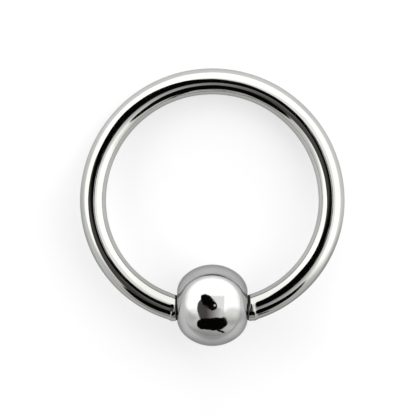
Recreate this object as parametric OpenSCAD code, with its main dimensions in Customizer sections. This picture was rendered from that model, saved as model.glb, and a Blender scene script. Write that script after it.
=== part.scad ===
// Captive bead ring: a round wire bent into an open ring, and a bead that the wire's two ends
// hold by a dimple in each of its sides.
// It lies as it rests by itself: the far side of the wire and the underside of the bead touch
// z = 0, so the ring's plane leans a little. The bead is at -y, the wire's ends point at it
// along x, and the origin is on the ground below the middle of the whole.

/* [Wire] */
// Diameter of the round wire
wire_d = 1.6; // [1.2:0.1:1.8]
// Inside diameter of the ring, measured across its middle
inner_d = 13; // [11:0.5:16]
// How far the bend centre of each lower quarter lies to its own side of the ring's centre
draw_in = 0.5; // [0.3:0.05:0.8]

/* [Wire ends] */
// Radius of the rounded edge round each end face
end_round = 0.3; // [0.2:0.02:0.34]
// How far inside the wire's side the flat of each end face stops
end_inset = 0.25; // [0.2:0.01:0.3]
// Lean of the edge's last stretch away from the wire's own direction, in degrees
end_flare = 35; // [30:1:45]
// How far beyond the bead's centre the wire's ends meet the bead
end_drop = 0.2; // [0.1:0.02:0.26]

/* [Bead] */
// Diameter of the bead
bead_d = 5; // [4.5:0.25:6.5]
// Depth of each dimple, from the round of the bead
dimple_depth = 0.58; // [0.5:0.02:0.7]
// Radius of each dimple's bowl
dimple_r = 2.2; // [1.9:0.05:2.6]
// Radius of the rounded rim round each dimple
rim_round = 0.35; // [0.2:0.05:0.4]
// Gap between each wire end and the bowl that it sits in
seat_gap = 0.05; // [0.04:0.01:0.08]

/* [Hidden] */
$fn = 96;
steel = [0.74, 0.75, 0.77];
bright_steel = [0.83, 0.84, 0.86];

wire_r = wire_d / 2;
bead_r = bead_d / 2;

// Bends: one half circle above, and a slightly tighter quarter on each side below it
upper_r = inner_d / 2 + wire_r;
lower_r = upper_r - draw_in;

// Dimple and rim in the bead's section, as [distance from its axis, place along its axis]
bowl_at = bead_r - dimple_depth + dimple_r;
rim_reach = bead_r - rim_round;
rim_z = (bowl_at^2 + rim_reach^2 - (dimple_r + rim_round)^2) / (2 * bowl_at);
rim_at = [sqrt(rim_reach^2 - rim_z^2), rim_z];
rim_on_ball = rim_at * bead_r / rim_reach;
rim_on_bowl = rim_at + ([0, bowl_at] - rim_at) * rim_round / (dimple_r + rim_round);
rim_chord = rim_on_bowl - rim_on_ball;
rim_out = [rim_chord[1], -rim_chord[0]] * rim_round / norm(rim_chord);
rim_corner = [rim_on_ball, rim_on_ball + rim_out, rim_on_bowl + rim_out, rim_on_bowl];
// How far the round of the rim stands proud where it blends into the ball and the bowl
rim_blend = 0.002;

// Wire ends: each stops where its rounded edge is seat_gap from the bowl and from the rim
end_flat_r = wire_r - end_inset;
end_edge = end_flat_r + end_drop;
stop_at_bowl = bowl_at - sqrt((dimple_r - end_round - seat_gap)^2 - end_edge^2);
stop_at_rim = rim_at[1] + sqrt(max(0, (rim_round + end_round + seat_gap)^2 - (rim_at[0] - end_edge)^2));
end_x = max(stop_at_bowl, stop_at_rim) - end_round;
end_y = sqrt(lower_r^2 - (end_x - draw_in)^2);
bead_y = end_y - end_drop;

// Sweep of each lower quarter, far enough past its end face for the whole wire to be cut there
end_spare = wire_r / 2;
lower_sweep = acos((end_x - end_spare - draw_in) / (lower_r + wire_r));

// Form of an end, and the reach of the tool that gives it that form
flare_from = [end_flat_r + end_round * cos(end_flare), end_round * (1 - sin(end_flare))];
cut_depth = 1.5 * end_round;
flare_depth = 2 * end_round;
flare_to = [flare_from[0] + (flare_depth - flare_from[1]) * tan(end_flare), flare_depth];

// Lie: the leaning plane rests on the underside of the bead and on the far side of the wire
lean = asin((bead_r - wire_r) / (upper_r + bead_y));
centre_height = wire_r + upper_r * sin(lean);
far_side = upper_r * cos(lean) + wire_r;
near_side = bead_y * cos(lean) + bead_r;

// Lays what is drawn in the ring's own plane down on the ground
module as_it_lies() {
    translate([0, (near_side - far_side) / 2, centre_height]) rotate([-lean, 0, 0]) children();
}

// A bend of the wire about the z axis, from +x through the given angle
module bend(radius, sweep) {
    rotate_extrude(angle = sweep) translate([radius, 0]) circle(r = wire_r);
}

// Section of a wire end about its own axis: the flat face at 0, its rounded edge and its flare
module end_section() {
    translate([end_flat_r, end_round]) circle(r = end_round);
    polygon([[-wire_r, 0], [end_flat_r, 0], flare_from, flare_to, [-wire_r, flare_depth]]);
}

// What is cut away round and beyond a wire end
module end_cut() {
    rotate_extrude() difference() {
        translate([0, -wire_d]) square([wire_d, wire_d + cut_depth]);
        end_section();
    }
}

// Lower quarter of the wire on the +x side, with its end formed
module lower_quarter() {
    difference() {
        translate([draw_in, 0, 0]) mirror([0, 1, 0]) bend(lower_r, lower_sweep);
        translate([end_x, -end_y, 0]) rotate([0, 90, 0]) end_cut();
    }
}

// Half section of the bead about its own axis: a ball with a bowl and a rounded rim at each side
module bead_section() {
    intersection() {
        translate([0, -bead_r]) square([bead_r, bead_d]);
        union() {
            difference() {
                circle(r = bead_r);
                for (side = [-1, 1]) {
                    translate([0, side * bowl_at]) circle(r = dimple_r);
                    polygon([for (p = rim_corner) [p[0], side * p[1]]]);
                }
            }
            for (side = [-1, 1])
                translate([rim_at[0], side * rim_at[1]]) circle(r = rim_round + rim_blend);
        }
    }
}

// The wire, bent round and open at the bead
module ring() {
    color(steel) as_it_lies() {
        bend(upper_r, 180);
        for (side = [0, 1]) mirror([side, 0, 0]) lower_quarter();
    }
}

// The dimpled bead between the wire's ends
module bead() {
    color(bright_steel) as_it_lies() translate([0, -bead_y, 0]) rotate([0, 90, 0])
        rotate_extrude() bead_section();
}

ring();
bead();
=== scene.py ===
"""Dresses the captive bead ring: polished steel wire and bead, lying on a pale floor in a light tent."""

import logging
import math
from dataclasses import dataclass, field
from enum import Enum
from typing import Any, Callable, Iterable, Sequence, Union

import bpy
import numpy as np
from mathutils import Matrix

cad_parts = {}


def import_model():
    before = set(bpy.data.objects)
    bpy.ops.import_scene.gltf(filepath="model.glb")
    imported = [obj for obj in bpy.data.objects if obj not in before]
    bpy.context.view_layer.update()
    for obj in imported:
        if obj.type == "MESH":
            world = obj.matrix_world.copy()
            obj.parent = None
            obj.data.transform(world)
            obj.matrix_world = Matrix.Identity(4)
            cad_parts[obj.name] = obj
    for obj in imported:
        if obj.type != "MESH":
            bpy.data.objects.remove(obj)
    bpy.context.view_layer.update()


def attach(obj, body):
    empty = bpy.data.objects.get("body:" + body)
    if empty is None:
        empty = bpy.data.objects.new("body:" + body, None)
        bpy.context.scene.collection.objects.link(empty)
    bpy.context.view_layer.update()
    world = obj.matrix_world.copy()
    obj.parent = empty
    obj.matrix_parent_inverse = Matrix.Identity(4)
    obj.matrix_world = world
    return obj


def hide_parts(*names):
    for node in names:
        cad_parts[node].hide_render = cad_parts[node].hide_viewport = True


LOG = logging.getLogger("captive_bead_ring")
MM = 0.001
HALVINGS = 46
NOISE_MEAN = 0.5
MIX_LOW, MIX_HIGH, MIX_COLOUR = 6, 7, 2
FULL_TURN = 2 * math.pi
UP = np.array([0.0, 0.0, 1.0])
Array = np.ndarray
Pair = tuple[float, float]
Triple = tuple[float, float, float]
Value = Union[float, Sequence[float], "Signal"]


class Side(Enum):
    """The two sides of the ring, by the sign of x."""

    LEFT = -1
    RIGHT = 1


@dataclass(frozen=True)
class Edge:
    """Where a mask changes from 1 to 0, and how wide the change is."""

    at: float
    soft: float


@dataclass(frozen=True)
class Grain:
    """A soft random pattern: its waves a unit of length, its finer detail and how strong that is."""

    scale: float
    detail: float
    roughness: float = 0.5


class Signal:
    """A shader socket that adds its own Math nodes when it is used in a sum or a product."""

    def __init__(self, bench: "NodeBench", socket: bpy.types.NodeSocket) -> None:
        """Keeps the socket and the bench that its nodes stand on."""
        self.bench = bench
        self.socket = socket

    def _math(self, operation: str, *values: Value) -> "Signal":
        """Adds one Math node of the given operation over the values."""
        return self.bench.node("ShaderNodeMath", {"operation": operation}, dict(enumerate(values)))

    def __add__(self, other: Value) -> "Signal":
        """The sum of both."""
        return self._math("ADD", self, other)

    __radd__ = __add__

    def __sub__(self, other: Value) -> "Signal":
        """This less the other."""
        return self._math("SUBTRACT", self, other)

    def __rsub__(self, other: Value) -> "Signal":
        """The other less this."""
        return self._math("SUBTRACT", other, self)

    def __mul__(self, other: Value) -> "Signal":
        """The product of both."""
        return self._math("MULTIPLY", self, other)

    __rmul__ = __mul__

    def __truediv__(self, other: Value) -> "Signal":
        """This over the other."""
        return self._math("DIVIDE", self, other)

    def __abs__(self) -> "Signal":
        """The value without its sign."""
        return self._math("ABSOLUTE", self)

    def root(self) -> "Signal":
        """The square root."""
        return self._math("SQRT", self)

    def least(self, other: Value) -> "Signal":
        """The smaller of both."""
        return self._math("MINIMUM", self, other)

    def most(self, other: Value) -> "Signal":
        """The larger of both."""
        return self._math("MAXIMUM", self, other)

    def below(self, edge: Edge) -> "Signal":
        """1 below the edge and 0 above it, with a smooth change between.

        Args:
            edge: The middle and the width of the change.

        Returns:
            The mask.
        """
        read = {"Value": self, "From Min": edge.at - edge.soft / 2, "From Max": edge.at + edge.soft / 2}
        settings = {"interpolation_type": "SMOOTHSTEP"}
        return self.bench.node("ShaderNodeMapRange", settings, {**read, "To Min": 1.0, "To Max": 0.0})

    def above(self, edge: Edge) -> "Signal":
        """0 below the edge and 1 above it."""
        return 1.0 - self.below(edge)

    def uneven(self, pattern: "Signal", amount: float) -> "Signal":
        """This mask, made stronger and weaker by a pattern whose mean is 0.5, and 1 at the most."""
        return (self * (pattern * amount + (1.0 - amount * NOISE_MEAN))).least(1.0)


class NodeBench:
    """The node tree of one material or of the world, with one way to add a node to it."""

    def __init__(self, tree: bpy.types.NodeTree) -> None:
        """Clears the tree and keeps it."""
        tree.nodes.clear()
        self.tree = tree

    def node(
        self,
        kind: str,
        settings: dict[str, Any],
        values: dict[str | int, Value],
        out: str | int = 0,
    ) -> Signal | None:
        """Adds a node.

        Args:
            kind: The node's Blender type.
            settings: Properties of the node, set before its sockets.
            values: A number, a colour or a link for each input, by name or place.
            out: The output that is returned.

        Returns:
            The chosen output, or None from a node that has no output.
        """
        made = self.tree.nodes.new(kind)
        for name, setting in settings.items():
            setattr(made, name, setting)
        for key, value in values.items():
            self.feed(made.inputs[key], value)
        return Signal(self, made.outputs[out]) if len(made.outputs) else None

    def feed(self, socket: bpy.types.NodeSocket, value: Value) -> None:
        """Links a signal to an input, or sets the input to a number or a colour.

        Args:
            socket: The input.
            value: What it gets.
        """
        if isinstance(value, Signal):
            self.tree.links.new(value.socket, socket)
        else:
            socket.default_value = value

    def attribute(self, name: str, out: str = "Fac") -> Signal:
        """A value that the mesh stores for each of its points."""
        settings = {"attribute_type": "GEOMETRY", "attribute_name": name}
        return self.node("ShaderNodeAttribute", settings, {}, out)

    def noise(self, place: Value, grain: Grain) -> Signal:
        """A soft random value from 0 to 1 over the place."""
        values = {"Scale": grain.scale, "Detail": grain.detail, "Roughness": grain.roughness}
        return self.node("ShaderNodeTexNoise", {}, {"Vector": place, **values})

    def blend(self, amount: Value, low: Signal | Triple, high: Signal | Triple) -> Signal:
        """A colour that goes from low to high as the amount goes from 0 to 1.

        Args:
            amount: The share of high.
            low: The colour at 0.
            high: The colour at 1.

        Returns:
            The colour.
        """
        first, last = (tone if isinstance(tone, Signal) else (*tone, 1.0) for tone in (low, high))
        values = {"Factor": amount, MIX_LOW: first, MIX_HIGH: last}
        return self.node("ShaderNodeMix", {"data_type": "RGBA"}, values, MIX_COLOUR)


def smooth_most(first: Array, second: Array, soft: float) -> Array:
    """The larger of two fields, rounded where they are nearly equal.

    With d the difference, it is the larger value plus soft / 4 * (1 - |d| / soft) squared while
    |d| is under soft, so an edge between two surfaces becomes a small round inside it.

    Args:
        first: Values of one field.
        second: Values of the other field at the same points.
        soft: The difference from which on the larger value stands alone.

    Returns:
        The values of the joined field.
    """
    near = np.clip(1.0 - np.abs(first - second) / soft, 0.0, None)
    return np.maximum(first, second) + soft / 4 * near**2


def eased(values: Array, start: float, end: float) -> Array:
    """0 before the start and 1 past the end, by 3 t squared less 2 t cubed between them."""
    share = np.clip((values - start) / (end - start), 0.0, 1.0)
    return share * share * (3.0 - 2.0 * share)


def angles_round(count: int) -> Array:
    """The angles of that many points, evenly round a circle from 0."""
    return np.arange(count) * (FULL_TURN / count)


def roots_along(field_at: Callable[[Array], Array], start: Array, way: Array, reach: float) -> Array:
    """Finds where rays that start inside a form leave it.

    Args:
        field_at: Gives a value below 0 inside the form and above 0 outside, for an array of points.
        start: Where each ray starts.
        way: The unit direction of each ray.
        reach: A length at which every ray is outside.

    Returns:
        The points where the field is 0, by halving the interval of every ray at once.
    """
    low = np.zeros(way.shape[:-1])
    high = np.full(way.shape[:-1], reach)
    for _ in range(HALVINGS):
        middle = (low + high) / 2
        inside = field_at(start + middle[..., None] * way) < 0
        low = np.where(inside, middle, low)
        high = np.where(inside, high, middle)
    return start + ((low + high) / 2)[..., None] * way


def write_attribute(made: bpy.types.Object, name: str, values: Array) -> None:
    """Stores one number or one vector a point on the mesh.

    Args:
        made: The object.
        name: The attribute's name.
        values: An array of one column or of three.
    """
    vector = values.ndim == 2
    layer = made.data.attributes.new(name, "FLOAT_VECTOR" if vector else "FLOAT", "POINT")
    numbers = np.ascontiguousarray(values, np.float32).ravel()
    layer.data.foreach_set("vector" if vector else "value", numbers)


@dataclass(frozen=True)
class RolledSkin:
    """A closed skin: rings of points between two poles."""

    rings: Array
    first_pole: Array
    last_pole: Array

    def faces(self) -> list[tuple[int, ...]]:
        """Joins the points.

        Returns:
            Four-sided faces between neighbouring rings and a fan of triangles at each pole.
        """
        count, around = self.rings.shape[:2]
        place = np.arange(count * around).reshape(count, around)
        beside = np.roll(place, -1, axis=1)
        quads = np.stack([place[:-1], beside[:-1], beside[1:], place[1:]], axis=-1).reshape(-1, 4)
        first, last = count * around, count * around + 1
        start_fan = np.stack([np.full(around, first), beside[0], place[0]], axis=-1)
        end_fan = np.stack([np.full(around, last), place[-1], beside[-1]], axis=-1)
        return [tuple(f) for part in (quads, start_fan, end_fan) for f in part.tolist()]

    def points(self) -> Array:
        """All points, the rings first and then the two poles."""
        return np.vstack([self.rings.reshape(-1, 3), self.first_pole, self.last_pole])

    def to_object(self, name: str) -> bpy.types.Object:
        """Makes a smooth-shaded object whose faces point outwards.

        Args:
            name: The object's name.

        Returns:
            The object, at the origin, with its place in its mesh.
        """
        points, faces = self.points(), self.faces()
        a, b, c = (points[[f[k] for f in faces]] for k in range(3))
        if np.einsum("ij,ij->", a - points.mean(0), np.cross(b - a, c - a)) < 0:
            faces = [f[::-1] for f in faces]
        mesh = bpy.data.meshes.new(name)
        mesh.from_pydata(points.tolist(), [], faces)
        mesh.polygons.foreach_set("use_smooth", np.ones(len(faces), dtype=bool))
        mesh.update()
        made = bpy.data.objects.new(name, mesh)
        bpy.context.scene.collection.objects.link(made)
        return made


@dataclass(frozen=True)
class BeadForm:
    """Sizes of the model's bead, in metres: a ball with a bowl and a rounded rim at each side."""

    diameter: float = 5.0 * MM
    dimple_depth: float = 0.58 * MM
    dimple_r: float = 2.2 * MM
    rim_round: float = 0.35 * MM

    @property
    def radius(self) -> float:
        """Radius of the ball."""
        return self.diameter / 2

    @property
    def bowl_at(self) -> float:
        """Distance from the bead's centre to the centre of each bowl's sphere."""
        return self.radius - self.dimple_depth + self.dimple_r

    @property
    def rim_at(self) -> Pair:
        """Centre of the rim's round, which touches the ball from inside and the bowl.

        It is where two circles cross: one about the ball's centre, whose radius is the ball's less
        the round's, and one about the bowl's centre, whose radius is the bowl's plus the round's.

        Returns:
            Its distance from the bead's axis and its place along the axis.
        """
        reach = self.radius - self.rim_round
        along = (self.bowl_at**2 + reach**2 - (self.dimple_r + self.rim_round) ** 2) / (2 * self.bowl_at)
        return math.sqrt(reach**2 - along**2), along


@dataclass(frozen=True)
class WireForm:
    """Sizes of the bent wire, in metres, in the ring's own plane: x across and y from the bead."""

    bead: BeadForm = BeadForm()
    diameter: float = 1.6 * MM
    inner_d: float = 13.0 * MM
    draw_in: float = 0.5 * MM
    end_round: float = 0.3 * MM
    end_inset: float = 0.25 * MM
    end_flare: float = math.radians(35)
    end_drop: float = 0.2 * MM
    seat_gap: float = 0.05 * MM

    @property
    def radius(self) -> float:
        """Radius of the wire."""
        return self.diameter / 2

    @property
    def upper_r(self) -> float:
        """Bend radius of the upper half."""
        return self.inner_d / 2 + self.radius

    @property
    def lower_r(self) -> float:
        """Bend radius of each lower quarter."""
        return self.upper_r - self.draw_in

    @property
    def flat_r(self) -> float:
        """Radius of the flat of each end face."""
        return self.radius - self.end_inset

    @property
    def end_x(self) -> float:
        """Place of the end faces on x.

        Returns:
            The place at which an end's rounded edge is seat_gap from the bowl and from the rim.
        """
        edge = self.flat_r + self.end_drop
        rim_off, rim_along = self.bead.rim_at
        bowl = self.bead.dimple_r - self.end_round - self.seat_gap
        rim = self.bead.rim_round + self.end_round + self.seat_gap
        at_bowl = self.bead.bowl_at - math.sqrt(bowl**2 - edge**2)
        at_rim = rim_along + math.sqrt(max(0.0, rim**2 - (rim_off - edge) ** 2))
        return max(at_bowl, at_rim) - self.end_round

    @property
    def end_y(self) -> float:
        """Distance of the ends' own axis below the ring's centre."""
        return math.sqrt(self.lower_r**2 - (self.end_x - self.draw_in) ** 2)

    @property
    def bead_y(self) -> float:
        """Distance of the bead's centre below the ring's centre."""
        return self.end_y - self.end_drop


@dataclass(frozen=True)
class Lie:
    """How the ring's own plane leans on the ground."""

    wire: WireForm

    @property
    def lean(self) -> float:
        """Angle of the plane: it rests on the underside of the bead and on the wire's far side."""
        rise = self.wire.bead.radius - self.wire.radius
        return math.asin(rise / (self.wire.upper_r + self.wire.bead_y))

    @property
    def across(self) -> Array:
        """The plane's x axis."""
        return np.array([1.0, 0.0, 0.0])

    @property
    def along(self) -> Array:
        """The plane's y axis, from the bead to the far side of the wire."""
        return np.array([0.0, math.cos(self.lean), -math.sin(self.lean)])

    @property
    def facing(self) -> Array:
        """The plane's own upward direction."""
        return np.array([0.0, math.sin(self.lean), math.cos(self.lean)])

    @property
    def centre(self) -> Array:
        """Finds the ring's centre.

        Returns:
            Its place, with the origin on the ground below the middle of the whole.
        """
        far_side = self.wire.upper_r * math.cos(self.lean) + self.wire.radius
        near_side = self.wire.bead_y * math.cos(self.lean) + self.wire.bead.radius
        height = self.wire.radius + self.wire.upper_r * math.sin(self.lean)
        return np.array([0.0, (near_side - far_side) / 2, height])

    def on_ground(self, points: Array) -> Array:
        """Carries points from the ring's own plane to where they lie."""
        return self.centre + points @ np.stack([self.across, self.along, self.facing])


@dataclass(frozen=True)
class PaintedShade:
    """Painted shade that darkens the steel's reflection: how strong, and where it sets in and is full."""

    share: float
    start: float
    end: float

    def at(self, places: Array) -> Array:
        """The share of painted shade at each place."""
        return self.share * eased(places, self.start, self.end)


@dataclass(frozen=True)
class ShadePatch:
    """An oval of painted shade on the bead's upper side, which darkens its reflection, in shares of the
    bead's radius.
    """

    share: float
    middle: Pair
    half: Pair
    soft: float = 0.35

    def at(self, places: Array) -> Array:
        """The share of painted shade at each place, which fades out at the edge of the oval."""
        off = np.hypot(*((places[:, :2] - self.middle) / self.half).T)
        return self.share * (places[:, 2] > 0) * (1.0 - eased(off, 1.0 - self.soft, 1.0 + self.soft))


@dataclass(frozen=True)
class PolishedSteel:
    """Mirror-polished surgical steel: cloudy tone, buffing marks, hairline scratches, ripple, and painted
    shade.

    It reads three attributes of the mesh: worked is the place along and round the polished surface,
    a second is 1 in the seats between wire and bead, which are rougher and darkened by painted shade,
    and a third is the share of painted shade that darkens the reflection elsewhere.
    """

    name: str
    tone: Triple
    dull_tone: Triple
    # Tone where painted shade darkens the steel's reflection.
    painted_shade_tone: Triple = (0.25, 0.252, 0.244)
    # Dark tone of the painted shade in the seats between wire and bead, where the parts hide each other.
    seat_shade_tone: Triple = (0.06, 0.06, 0.058)
    rim_tone: Triple = (0.66, 0.66, 0.66)
    gloss: float = 0.035
    haze: float = 0.05
    painted_shade_haze: float = 0.0
    seat_haze: float = 0.16
    hair_haze: float = 0.1
    cloud: Grain = Grain(700.0, 3.0)
    cloud_edge: Edge = Edge(0.5, 0.5)
    cloud_dulls: float = 0.6
    smear: Grain = Grain(2600.0, 4.0, 0.6)
    smear_edge: Edge = Edge(0.46, 0.1)
    hair: Grain = Grain(36000.0, 1.0)
    hair_edge: Edge = Edge(0.012, 0.016)
    hair_dulls: float = 0.3
    hair_depth: float = 0.25
    painted_shade_unevenness: float = 0.4
    seat_unevenness: float = 0.2
    mark: Grain = Grain(9000.0, 3.0, 0.65)
    mark_stretch: Triple = (0.05, 1.0, 1.0)
    mark_height: float = 0.0004 * MM
    seat_marks: float = 8.0
    ripple: Grain = Grain(1100.0, 1.0)
    ripple_height: float = 3.0
    patch: Grain = Grain(110.0, 1.0)
    patch_edge: Edge = Edge(0.5, 0.16)

    def material(self) -> bpy.types.Material:
        """Builds the material.

        Returns:
            The material, whose pattern follows the surface.
        """
        made = bpy.data.materials.new(self.name)
        made.use_nodes = True
        bench = NodeBench(made.node_tree)
        worked = bench.attribute("worked", "Vector")
        cut, painted_shade = bench.attribute("seat_shade_and_rough"), bench.attribute("painted_shade")
        stretch = {0: worked, 1: self.mark_stretch}
        stretched = bench.node("ShaderNodeVectorMath", {"operation": "MULTIPLY"}, stretch)
        cloud, smear = bench.noise(worked, self.cloud), bench.noise(worked, self.smear)
        marks, hairs = bench.noise(stretched, self.mark), bench.noise(stretched, self.hair)
        hairline = abs(hairs - NOISE_MEAN).below(self.hair_edge) * smear.below(self.smear_edge)
        dull = (cloud.below(self.cloud_edge) * self.cloud_dulls + hairline * self.hair_dulls).least(1.0)
        tone = bench.blend(dull, self.tone, self.dull_tone)
        # Painted shade: a darker tone, uneven, where the reflection is painted darker.
        tone = bench.blend(painted_shade.uneven(cloud, self.painted_shade_unevenness), tone, self.painted_shade_tone)
        # Painted shade: the seats between wire and bead are darkened, unevenly, towards the seat's shade
        # tone.
        tone = bench.blend(cut.uneven(smear, self.seat_unevenness), tone, self.seat_shade_tone)
        roughness = self.gloss + smear * cloud * self.haze + cut * self.seat_haze
        roughness = roughness + hairline * self.hair_haze + painted_shade * self.painted_shade_haze
        ripple = bench.noise(worked, self.ripple) * bench.noise(worked, self.patch).below(self.patch_edge)
        height = marks * (cut * self.seat_marks + 1.0) - hairline * self.hair_depth
        height = height + ripple * self.ripple_height
        bumps = {"Height": height, "Distance": self.mark_height, "Strength": 1.0}
        bump = bench.node("ShaderNodeBump", {}, bumps)
        fixed = {"Metallic": 1.0, "Specular Tint": (*self.rim_tone, 1.0)}
        varied = {"Base Color": tone, "Roughness": roughness, "Normal": bump}
        shader = bench.node("ShaderNodeBsdfPrincipled", {}, {**fixed, **varied})
        bench.node("ShaderNodeOutputMaterial", {}, {"Surface": shader})
        return made


@dataclass(frozen=True)
class EndWork:
    """What differs between the wire's ends: how far behind the face it swells, and the painted shade on
    its outer side.
    """

    swell_at: float
    outer_shade: PaintedShade


@dataclass(frozen=True)
class Wave:
    """A slow wave along the wire: its length, its turns about the wire, its phase and its height."""

    pitch: float
    turns: float
    phase: float
    height: float

    def at(self, length: Array, angle: Array) -> Array:
        """The height times the sine of the place in the wave, the turned angle and the phase."""
        return self.height * np.sin(FULL_TURN * length / self.pitch + self.turns * angle + self.phase)


@dataclass
class BentWire:
    """The wire, bent into an open ring, with its two formed ends."""

    form: WireForm
    lie: Lie
    around: int = 112
    steps: int = 620
    cap_steps: int = 72
    edge_soft: float = 0.13 * MM
    swell: float = 0.045 * MM
    swell_reach: float = 0.14 * MM
    fullness: float = 0.2 * MM
    fuller_from: float = -0.6
    wander: float = 0.002 * MM
    waves: tuple[Wave, ...] = (
        Wave(1.9 * MM, 1.0, 0.3, 1.0),
        Wave(3.1 * MM, -2.0, 1.7, 0.8),
        Wave(0.83 * MM, 1.0, 4.1, 0.25),
    )
    # How dark the painted shade at the end faces is, and how far behind them it reaches.
    seat_shade: float = 1.2
    seat_shade_reach: float = 0.055 * MM
    # Painted shade on each end's outer side darkens the wire's reflection there.
    ends: dict[Side, EndWork] = field(
        default_factory=lambda: {
            Side.LEFT: EndWork(0.2 * MM, PaintedShade(0.65, -3.0 * MM, 4.5 * MM)),
            Side.RIGHT: EndWork(0.32 * MM, PaintedShade(1.0, -0.5 * MM, 4.0 * MM)),
        }
    )
    # Painted shade darkens the wire's reflection outside it below, inside it above, and near the bead,
    # within these bands of the wire's side.
    outer_band: Pair = (0.72, 0.9)
    inner_shade: PaintedShade = PaintedShade(0.45, 1.5 * MM, 5.4 * MM)
    inner_band: Pair = (0.72, 0.82)
    end_shade: PaintedShade = PaintedShade(0.35, 3.5 * MM, 5.5 * MM)
    finish: PolishedSteel = PolishedSteel(
        "wire_steel", tone=(0.503, 0.508, 0.488), dull_tone=(0.428, 0.434, 0.414)
    )

    def girdle(self, outward: Array) -> Array:
        """Directions round the wire: the angle's cosine times outward plus its sine times up."""
        angle = angles_round(self.around)[:, None]
        return np.cos(angle) * outward + np.sin(angle) * UP

    def spine(self, turn: Array) -> tuple[Array, Array]:
        """The wire's middle line, anticlockwise from the right end.

        It is a circle of the upper bend radius where the turn is from 0 to half a circle. Before and
        after that it is a circle of the lower bend radius about a centre moved to its own side.

        Args:
            turn: Angles of the outward direction, from +x.

        Returns:
            The points and the outward directions, in the ring's own plane.
        """
        outward = np.stack([np.cos(turn), np.sin(turn), np.zeros_like(turn)], axis=-1)
        upper = np.sin(turn) >= 0
        shift = np.where(upper, 0.0, np.sign(np.cos(turn)) * self.form.draw_in)
        bend = np.where(upper, self.form.upper_r, self.form.lower_r)
        points = outward * bend[..., None]
        points[..., 0] += shift
        return points, outward

    def tube_field(self, points: Array) -> Array:
        """Distance from the surface of a lower quarter's tube.

        It is the distance from the quarter's bend circle, less the wire's radius. Near its end the
        tube swells a little, by a bell curve of the depth behind the end along the wire, where the
        end was pressed round.

        Args:
            points: Places in the ring's own plane.

        Returns:
            The distance at each place, below 0 inside the wire.
        """
        off = np.hypot(np.abs(points[..., 0]) - self.form.draw_in, points[..., 1])
        rise = math.asin((self.form.end_x - self.form.draw_in) / self.form.lower_r)
        past_x, past_y = np.abs(points[..., 0]) - self.form.end_x, points[..., 1] + self.form.end_y
        depth = past_x * math.cos(rise) + past_y * math.sin(rise)
        right, left = self.ends[Side.RIGHT].swell_at, self.ends[Side.LEFT].swell_at
        crest = np.where(points[..., 0] > 0, right, left)
        swell = self.swell * np.exp(-(((depth - crest) / self.swell_reach) ** 2))
        return np.hypot(off - self.form.lower_r, points[..., 2]) - self.form.radius - swell

    def end_field(self, points: Array) -> Array:
        """Distance from the form of an end: a flat face, a rounded edge and a flare behind it.

        The form is a wedge between the flat and the flare, drawn in by the edge's radius, and every
        point within that radius of the wedge. Towards the inside of the ring the flat grows and the
        edge's radius shrinks by the same length, from fuller_from wire radii above the ends' axis on.

        Args:
            points: Places in the ring's own plane.

        Returns:
            The distance at each place, below 0 inside the form.
        """
        inward = (points[..., 1] + self.form.end_y) / self.form.radius - self.fuller_from
        fuller = self.fullness * np.clip(inward, 0.0, 1.0)
        edge, flat = self.form.end_round - fuller, self.form.flat_r + fuller
        off = np.hypot(points[..., 1] + self.form.end_y, points[..., 2]) - flat
        depth = np.abs(points[..., 0]) - self.form.end_x - edge
        slope, rise = math.sin(self.form.end_flare), math.cos(self.form.end_flare)
        past_flat, past_flare = off, -(off * slope + depth * rise)
        flat_or_flare = np.maximum(-depth, off * rise - depth * slope)
        corner = (past_flat > 0) & (past_flare > 0)
        return np.where(corner, np.hypot(off, depth), flat_or_flare) - edge

    def wire_field(self, points: Array) -> Array:
        """The tube cut by the end's form, with the edge between them softened."""
        return smooth_most(self.tube_field(points), self.end_field(points), self.edge_soft)

    def end_turn(self) -> float:
        """Turn below +x at which the middle line stands one wire radius behind the end face."""
        back = self.form.end_x + self.form.radius - self.form.draw_in
        return -math.acos(back / self.form.lower_r)

    def cap(self, side: Side) -> tuple[Array, Array, Array]:
        """One end of the wire: rays from the middle line that turn from sideways to lengthways.

        Args:
            side: The side of the ring that the end is on.

        Returns:
            The rings of points from the widest to the pole, the pole, and each ring's reach past
            the last point of the middle line.
        """
        turn = self.end_turn() if side is Side.RIGHT else math.pi - self.end_turn()
        start, outward = (v[0] for v in self.spine(np.array([turn])))
        ahead = np.cross(UP * side.value, -outward)
        tilt = np.linspace(0.0, math.pi / 2, self.cap_steps + 1)[1:, None, None]
        way = self.girdle(outward[None, None]) * np.cos(tilt) + ahead * np.sin(tilt)
        points = roots_along(self.wire_field, start, way, 2 * self.form.diameter)
        return points[:-1], points[-1, :1], (points - start) @ ahead

    def waviness(self, length: Array, angle: Array) -> Array:
        """Slight unevenness of a hand-bent wire: slow waves along it, turned about it.

        Args:
            length: Places along the wire.
            angle: Angles round the wire.

        Returns:
            The waves' sum, moved and scaled so that it only ever draws the wire in.
        """
        total = sum(wave.at(length, angle) for wave in self.waves)
        highest = sum(wave.height for wave in self.waves)
        return self.wander * (total - highest) / highest

    def painted_shade(self, flat: Array, outward: Array) -> Array:
        """Painted shade that darkens the wire's reflection: outside it below, inside it above, and near
        the bead.

        Args:
            flat: The wire's points in the ring's own plane.
            outward: For each point 1 at the outside of the ring, -1 at its inside.

        Returns:
            The share of each point, from 0 to 1: the largest that one of the shaded places gives it.
        """
        down = -flat[:, 1]
        right, left = (self.ends[side].outer_shade.at(down) for side in (Side.RIGHT, Side.LEFT))
        outside = np.where(flat[:, 0] > 0, right, left) * eased(outward, *self.outer_band)
        inside = self.inner_shade.at(-down) * eased(-outward, *self.inner_band)
        return np.max([outside, inside, self.end_shade.at(down)], axis=0)

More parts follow.
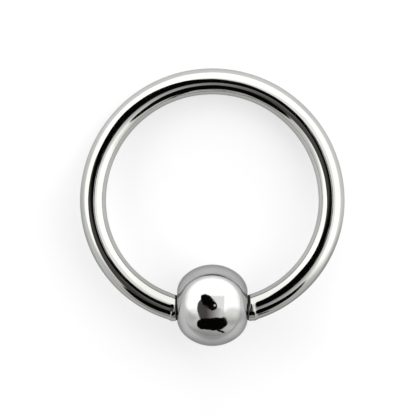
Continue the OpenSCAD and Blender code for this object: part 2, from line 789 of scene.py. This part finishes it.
    def build(self) -> bpy.types.Object:
        """Builds the wire's skin from the right end round to the left end.

        Each ring of the tube is a circle about the middle line, drawn in by the waviness, which
        fades towards the ends.

        Returns:
            The object, with the attributes that its finish reads.
        """
        turn = np.linspace(self.end_turn(), math.pi - self.end_turn(), self.steps + 1)
        middle, outward = self.spine(turn)
        length = np.concatenate([[0.0], np.cumsum(np.linalg.norm(np.diff(middle, axis=0), axis=-1))])
        angle = angles_round(self.around)
        fade = np.clip(np.minimum(length, length[-1] - length) / self.form.diameter, 0.0, 1.0)
        wave = self.waviness(length[:, None], angle[None, :]) * fade[:, None]
        tube = middle[:, None] + self.girdle(outward[:, None]) * (self.form.radius + wave)[..., None]
        right, right_pole, right_reach = self.cap(Side.RIGHT)
        left, left_pole, left_reach = self.cap(Side.LEFT)
        rings = np.concatenate([right[::-1], tube, left])
        skin = RolledSkin(*(self.lie.on_ground(p) for p in (rings, right_pole, left_pole)))
        made = skin.to_object("ring_wire")
        on_tube = np.broadcast_to(length[:, None], tube.shape[:2])
        along = np.concatenate([-right_reach[-2::-1], on_tube, length[-1] + left_reach[:-1]])
        round_it = (np.broadcast_to(turned, along.shape) for turned in (np.cos(angle), np.sin(angle)))
        worked = np.stack([along, *round_it], -1)
        outside = np.append(worked[..., 1], [0.0, 0.0])
        worked[..., 1:] *= self.form.radius
        poles = [[-right_reach[-1, 0], 0.0, 0.0], [length[-1] + left_reach[-1, 0], 0.0, 0.0]]
        write_attribute(made, "worked", np.vstack([worked.reshape(-1, 3), poles]))
        flat = np.vstack([rings.reshape(-1, 3), right_pole, left_pole])
        # Painted shade on each end face and the first bit of wire behind it, on the lower side near the
        # bead; the same mask also makes these places rougher.
        behind = (np.abs(flat[:, 0]) - self.form.end_x) / self.seat_shade_reach
        near_bead = flat[:, 1] < -self.form.end_y / 2
        shade = np.clip(self.seat_shade * (1.0 - behind), 0.0, 1.0)
        write_attribute(made, "seat_shade_and_rough", shade * near_bead)
        # Painted shade that darkens the wire's reflection.
        write_attribute(made, "painted_shade", self.painted_shade(flat, outside))
        return made

    def dress(self, made: bpy.types.Object) -> None:
        """Gives the wire its finish and ties it to the model's node.

        Args:
            made: The wire's object.
        """
        made.data.materials.append(self.finish.material())
        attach(made, "ring")
        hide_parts("ring")


@dataclass
class DimpledBead:
    """The bead between the wire's ends."""

    form: BeadForm
    lie: Lie
    around: int = 224
    ball_steps: int = 110
    bowl_steps: int = 26
    rim_steps: int = 14
    shoulder_steps: int = 40
    shoulder_r: float = 1.64 * MM
    shoulder_from: float = math.radians(50)
    rim_r: float = 0.12 * MM
    shade_past_rim: float = 0.02 * MM
    shade_reach: float = 0.1 * MM
    # Painted shade that darkens the bead's reflection on its lower side and in two patches on its upper
    # side; it also makes the bead a little rougher there.
    lower_shade: PaintedShade = PaintedShade(0.39, 1.65 * MM, 2.15 * MM)
    shade_patches: tuple[ShadePatch, ...] = (
        ShadePatch(0.75, (0.5, -0.24), (0.25, 0.2)),
        ShadePatch(0.35, (-0.46, -0.19), (0.12, 0.14)),
    )
    finish: PolishedSteel = PolishedSteel(
        "bead_steel",
        tone=(0.487, 0.487, 0.487),
        dull_tone=(0.412, 0.412, 0.412),
        rim_tone=(0.48, 0.48, 0.48),
        mark_stretch=(1.0, 0.3, 0.3),
        mark_height=0.0002 * MM,
        ripple_height=2.0,
        painted_shade_haze=0.1,
    )

    @property
    def shoulder_at(self) -> Array:
        """Centre of the shoulder's arc, which touches the ball from inside."""
        way = np.array([math.cos(self.shoulder_from), math.sin(self.shoulder_from)])
        return (self.form.radius - self.shoulder_r) * way

    @property
    def rim_at(self) -> Array:
        """Centre of the rim's small arc, which touches the shoulder from inside and the bowl.

        It is where two circles cross: one about the shoulder's centre, whose radius is the
        shoulder's less the arc's, and one about the bowl's centre, whose radius is the bowl's plus
        the arc's.

        Returns:
            Its place along the bead's axis and its distance from the axis.
        """
        to_bowl = np.array([self.form.bowl_at, 0.0]) - self.shoulder_at
        span = math.hypot(*to_bowl)
        near, far = self.shoulder_r - self.rim_r, self.form.dimple_r + self.rim_r
        along = (near**2 - far**2 + span**2) / (2 * span)
        ahead = to_bowl / span
        aside = np.array([-ahead[1], ahead[0]])
        return self.shoulder_at + along * ahead + math.sqrt(near**2 - along**2) * aside

    @staticmethod
    def arc(centre: Sequence[float], radius: float, angles: Array) -> Array:
        """Points of an arc at the given angles."""
        return np.asarray(centre) + radius * np.stack([np.cos(angles), np.sin(angles)], -1)

    def profile(self) -> Array:
        """Half of the bead's section, from one bowl's bottom to the other.

        Each stretch is an arc that touches the next: the bowl, the small round of the rim, the
        large round of the shoulder, which tumbling gave the ball, and the ball itself.

        Returns:
            Points as (place along the axis, distance from the axis).
        """
        rim, shoulder = self.rim_at, self.shoulder_at
        bowl_edge = math.atan2(rim[1], self.form.bowl_at - rim[0])
        rim_edge = math.atan2(*(rim - shoulder)[::-1])
        ball_edge = self.shoulder_from
        bowl = math.pi - np.linspace(0.0, bowl_edge, self.bowl_steps, endpoint=False)
        rim_turn = np.linspace(-bowl_edge, rim_edge, self.rim_steps, endpoint=False)
        shoulder_turn = np.linspace(rim_edge, ball_edge, self.shoulder_steps, endpoint=False)
        ball = np.linspace(ball_edge, math.pi - ball_edge, self.ball_steps + 1)
        near = np.vstack(
            [
                self.arc((self.form.bowl_at, 0.0), self.form.dimple_r, bowl),
                self.arc(rim, self.rim_r, rim_turn),
                self.arc(shoulder, self.shoulder_r, shoulder_turn),
            ]
        )
        return np.vstack([near, self.arc((0.0, 0.0), self.form.radius, ball), near[::-1] * [-1.0, 1.0]])

    def build(self) -> bpy.types.Object:
        """Turns the section about the bead's axis.

        Each point keeps its place along the axis. Its distance from the axis, times the cosine and
        times the sine of the angle, gives its other two places.

        Returns:
            The object, with the attributes that its finish reads.
        """
        profile = self.profile()
        section, pole = profile[1:-1], np.array([[profile[0, 0], 0.0, 0.0]])
        angle = angles_round(self.around)
        x = np.broadcast_to(section[:, :1], (len(section), self.around))
        y, z = section[:, 1:] * np.cos(angle), section[:, 1:] * np.sin(angle)
        rings = np.stack([x, y, z], -1)
        drop = np.array([0.0, -self.lie.wire.bead_y, 0.0])
        skin = RolledSkin(*(self.lie.on_ground(p + drop) for p in (rings, pole, -pole)))
        made = skin.to_object("captive_bead")
        flat = np.vstack([rings.reshape(-1, 3), pole, -pole])
        write_attribute(made, "worked", flat)
        # Painted shade in the bowls, where the wire's ends sit, and a little past their rims; the same
        # mask also makes these places rougher.
        inside_rim = self.rim_at[1] + self.shade_past_rim - np.hypot(flat[:, 1], flat[:, 2])
        write_attribute(made, "seat_shade_and_rough", np.clip(inside_rim / self.shade_reach, 0.0, 1.0))
        # Painted shade on the bead's lower side and in two patches, which darkens its reflection.
        patch_shades = [shade_patch.at(flat / self.form.radius) for shade_patch in self.shade_patches]
        write_attribute(made, "painted_shade", np.max([self.lower_shade.at(-flat[:, 1]), *patch_shades], axis=0))
        return made

    def dress(self, made: bpy.types.Object) -> None:
        """Gives the bead its finish and ties it to the model's node.

        Args:
            made: The bead's object.
        """
        made.data.materials.append(self.finish.material())
        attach(made, "bead")
        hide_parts("bead")


@dataclass(frozen=True)
class Slope:
    """A straight edge: the mask is 1 where the weighted sum of the two places is below it."""

    across: float
    along: float
    edge: Edge

    def mask(self, x: Signal, y: Signal) -> Signal:
        """The mask over the places x and y."""
        return (x * self.across + y * self.along).below(self.edge)


@dataclass(frozen=True)
class Patch:
    """An oval on the mirror ball, or a rectangle if it has the radius of its corners.

    Lean moves it to the left by that share of the place along, and slant lowers it by that share
    of the place across.
    """

    middle: Pair
    half: Pair
    soft: float
    corner: float | None = None
    lean: float = 0.0
    slant: float = 0.0

    def mask(self, x: Signal, y: Signal) -> Signal:
        """1 inside the patch and 0 outside.

        An oval goes by the distance from its middle, scaled by its halves, and a rectangle by the
        distance from its edges drawn in by the corner's radius.

        Args:
            x: Places across.
            y: Places along.

        Returns:
            The mask.
        """
        u = x + y * self.lean - self.middle[0]
        v = y + x * self.slant - self.middle[1]
        if self.corner is None:
            u, v = u / self.half[0], v / self.half[1]
            return (u * u + v * v).root().below(Edge(1.0, self.soft / min(self.half)))
        u = (abs(u) - (self.half[0] - self.corner)).most(0.0)
        v = (abs(v) - (self.half[1] - self.corner)).most(0.0)
        return (u * u + v * v).root().below(Edge(self.corner, self.soft))


@dataclass(frozen=True)
class LightTent:
    """A soft light tent round the ring, with the openings that polished steel mirrors.

    The tent is drawn on a mirror ball: a direction has the place at which a ball of radius 1, seen
    from above the ring's plane, would mirror it. The middle of the ball mirrors the lens. The wall
    is evenly lit and gets darker at its hem and skirt. The roof is bright, with a dimmer scrim in
    it. Before them are a grey cloth on its stand, a black flag, a black bar and the black lens with
    a glint.
    """

    lie: Lie
    wall: float = 1.15
    hem: float = 0.98
    hem_edge: Slope = Slope(0.1, 1.0, Edge(-0.255, 0.32))
    skirt: float = 0.54
    skirt_edge: Slope = Slope(0.1, 1.0, Edge(-0.6, 0.2))
    roof: float = 2.25
    roof_field: Patch = Patch((0.015, 0.0), (0.665, 0.8), 0.17)
    roof_corner: Slope = Slope(0.75, 0.66, Edge(-0.5, 0.12))
    scrim: float = 1.58
    scrim_field: Patch = Patch((0.12, -0.02), (0.17, 0.26), 0.03, corner=0.03)
    stand: Patch = Patch((-0.01, -0.23), (0.322, 0.24), 0.06, corner=0.12, slant=0.4)
    cloth: Patch = Patch((-0.13, -0.06), (0.24, 0.28), 0.03)
    cloth_level: float = 0.64
    cloth_rise: float = 2.1
    cloth_least: float = 0.33
    black: float = 0.003
    flag: Patch = Patch((-0.084, 0.1), (0.144, 0.18), 0.02, corner=0.14, lean=0.35)
    flag_foot: Slope = Slope(-0.42, -1.0, Edge(0.1, 0.14))
    bar: Patch = Patch((0.0, -0.43), (0.37, 0.132), 0.02, corner=0.125, slant=-0.07)
    bar_belly: Patch = Patch((0.03, -0.52), (0.26, 0.085), 0.02)
    bar_tail: Patch = Patch((0.2, -0.55), (0.11, 0.028), 0.015, slant=0.35)
    lens: Patch = Patch((0.007, 0.0), (0.113, 0.113), 0.02)
    glint: float = 1.0
    glint_spot: Patch = Patch((0.058, 0.008), (0.026, 0.026), 0.018)
    fold: Grain = Grain(3.1, 3.0)
    crease: Grain = Grain(5.3, 2.0)
    wobble: float = 0.05
    fold_shade: float = 0.35
    tint: Triple = (1.0, 1.0, 0.982)
    shade_tint: Triple = (1.09, 1.0, 0.93)
    shade_edge: Edge = Edge(0.3, 0.3)
    least_scale: float = 0.0001

    def hang(self) -> None:
        """Builds the tent as the world's light."""
        world = bpy.data.worlds.new("light_tent")
        bpy.context.scene.world = world
        world.use_nodes = True
        bench = NodeBench(world.node_tree)
        light = self.pattern(bench)
        tint = bench.blend(light.below(self.shade_edge), self.tint, self.shade_tint)
        colour = bench.node("ShaderNodeVectorMath", {"operation": "SCALE"}, {0: tint, "Scale": light})
        shader = bench.node("ShaderNodeBackground", {}, {"Color": colour, "Strength": 1.0})
        bench.node("ShaderNodeOutputWorld", {}, {"Surface": shader})

    def pattern(self, bench: NodeBench) -> Signal:
        """The tent's brightness over the mirror ball.

        The ball mirrors a unit direction at its shares across and along, each over the root of
        twice its share facing the lens plus 2.

        Args:
            bench: The world's nodes.

        Returns:
            The brightness.
        """
        way = bench.node("ShaderNodeTexCoord", {}, {}, "Generated")
        axes = (self.lie.across, self.lie.along, self.lie.facing)
        across, along, facing = (self.share(bench, way, axis) for axis in axes)
        scale = (facing * 2.0 + 2.0).most(self.least_scale).root()
        fold = bench.noise(way, self.fold) - NOISE_MEAN
        crease = bench.noise(way, self.crease) - NOISE_MEAN
        x, y = across / scale + fold * self.wobble, along / scale + crease * self.wobble
        hem = self.hem_edge.mask(x, y)
        light = self.over(self.wall, hem, self.hem)
        light = self.over(light, self.skirt_edge.mask(x, y), self.skirt)
        roof = self.roof_field.mask(x, y) * (1.0 - hem) * (1.0 - self.roof_corner.mask(x, y))
        light = self.over(light * (fold * self.fold_shade + 1.0), roof, self.roof)
        light = self.over(light, self.scrim_field.mask(x, y), self.scrim)
        level = (x * self.cloth_rise + self.cloth_level).most(self.cloth_least)
        cloth = self.stand.mask(x, y).most(self.cloth.mask(x, y))
        light = self.over(light, cloth, (level * level).least(light))
        light = self.over(light, self.flag.mask(x, y) * self.flag_foot.mask(x, y), self.black)
        bar = self.bar.mask(x, y).most(self.bar_belly.mask(x, y)).most(self.bar_tail.mask(x, y))
        light = self.over(light, bar, self.black)
        light = self.over(light, self.lens.mask(x, y), self.black)
        return self.over(light, self.glint_spot.mask(x, y), self.glint)

    @staticmethod
    def share(bench: NodeBench, way: Signal, axis: Array) -> Signal:
        """How far the direction goes along an axis."""
        values = {0: way, 1: tuple(axis)}
        return bench.node("ShaderNodeVectorMath", {"operation": "DOT_PRODUCT"}, values, "Value")

    @staticmethod
    def over(below: Signal | float, mask: Signal, level: Signal | float) -> Signal:
        """Lays a patch of one brightness over what is below it."""
        return below * (1.0 - mask) + mask * level


@dataclass(frozen=True)
class Floor:
    """The pale floor that the ring lies on, as in a light tent: it glows with painted light, more
    strongly far behind and in a pool round the ring's far and right side, and painted shade
    darkens its front.
    """

    half: float = 400 * MM
    tone: Triple = (0.42, 0.42, 0.424)
    glow: float = 1.4
    # Painted shade: the floor's tone is darker in front by this share.
    front_shade: float = 0.62
    front_edge: Edge = Edge(-22 * MM, 24 * MM)
    front_spread: float = 0.5
    # Painted light: the floor glows more strongly far behind.
    back: float = 2.1
    back_edge: Edge = Edge(36 * MM, 20 * MM)
    # Painted light: a pool of stronger glow round the ring's outside, on its far and right side.
    pool: float = 1.3
    pool_ring: Edge = Edge(9.2 * MM, 2.4 * MM)
    pool_side: Slope = Slope(0.5, 1.0, Edge(-1 * MM, 10 * MM))
    grain: Grain = Grain(900.0, 3.0)
    grain_share: float = 0.03

    def scaled(self, by: float) -> Triple:
        """The floor's tone, lighter or darker."""
        return tuple(t * by for t in self.tone)

    def lay(self) -> None:
        """Makes the floor and its matt finish."""
        corners = [(-1, -1), (1, -1), (1, 1), (-1, 1)]
        mesh = bpy.data.meshes.new("floor")
        mesh.from_pydata([(x * self.half, y * self.half, 0.0) for x, y in corners], [], [(0, 1, 2, 3)])
        made = bpy.data.objects.new("floor", mesh)
        bpy.context.scene.collection.objects.link(made)
        made.data.materials.append(self.paper())

    def paper(self) -> bpy.types.Material:
        """Builds the floor's finish: matt paper that glows with painted light, in a pool beyond the
        ring and more strongly far behind, and is painted darker in front.

        Returns:
            The material.
        """
        made = bpy.data.materials.new("floor_paper")
        made.use_nodes = True
        bench = NodeBench(made.node_tree)
        place = bench.node("ShaderNodeTexCoord", {}, {}, "Object")
        grain = bench.noise(place, self.grain)
        across, along = (bench.node("ShaderNodeSeparateXYZ", {}, {0: place}, axis) for axis in "XY")
        # A painted pool of light beyond the ring, on its far and right side.
        beyond = (across * across + along * along).root().above(self.pool_ring)
        pool = beyond * (1.0 - self.pool_side.mask(across, along))
        # Painted shade: the floor is darker in front.
        front_shade = (along + abs(across) * self.front_spread).below(self.front_edge)
        shaded = (front_shade + grain * self.grain_share).least(1.0)
        tone = bench.blend(shaded, self.tone, self.scaled(self.front_shade))
        glowing = bench.blend(pool, tone, self.scaled(self.pool))
        # Painted light: the floor glows more strongly far behind.
        glowing = bench.blend(along.below(self.back_edge), self.scaled(self.back), glowing)
        fixed = {"Roughness": 1.0, "Specular IOR Level": 0.0, "Emission Strength": self.glow}
        varied = {"Base Color": tone, "Emission Color": glowing}
        shader = bench.node("ShaderNodeBsdfPrincipled", {}, {**fixed, **varied})
        bench.node("ShaderNodeOutputMaterial", {}, {"Surface": shader})
        return made


@dataclass(frozen=True)
class Camera:
    """A long lens that looks straight at the ring's plane, as in the photograph."""

    lie: Lie
    away: float = 250 * MM
    frame_px: int = 416
    pixel: float = 0.0612 * MM
    sensor_mm: float = 36.0
    clip_start: float = 5 * MM
    aim_across: float = -0.264 * MM
    aim_along: float = -0.449 * MM

    def place(self) -> None:
        """Makes the camera and aims it at the middle of the photograph's frame."""
        data = bpy.data.cameras.new("camera")
        data.sensor_width = self.sensor_mm
        data.lens = self.sensor_mm * self.away / (self.frame_px * self.pixel)
        data.clip_start = self.clip_start
        made = bpy.data.objects.new("camera", data)
        bpy.context.scene.collection.objects.link(made)
        aim = self.lie.centre + self.aim_across * self.lie.across + self.aim_along * self.lie.along
        turned = np.eye(4)
        turned[:3, 0], turned[:3, 1], turned[:3, 2] = self.lie.across, self.lie.along, self.lie.facing
        turned[:3, 3] = aim + self.lie.facing * self.away
        made.matrix_world = Matrix(turned.tolist())
        bpy.context.scene.camera = made


def report(pieces: Iterable[bpy.types.Object]) -> None:
    """Logs the number of points and faces of each piece."""
    for made in pieces:
        LOG.info("%s: %d points, %d faces", made.name, len(made.data.vertices), len(made.data.polygons))


def main() -> None:
    """Builds the pieces, the studio and the camera."""
    logging.basicConfig(level=logging.INFO, format="%(message)s")
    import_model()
    wire_form = WireForm()
    lie = Lie(wire_form)
    Camera(lie).place()
    pieces = []
    for part in (BentWire(wire_form, lie), DimpledBead(wire_form.bead, lie)):
        made = part.build()
        part.dress(made)
        pieces.append(made)
    Floor().lay()
    LightTent(lie).hang()
    bpy.context.scene.view_settings.view_transform = "Standard"
    report(pieces)


if __name__ == "__main__":
    main()
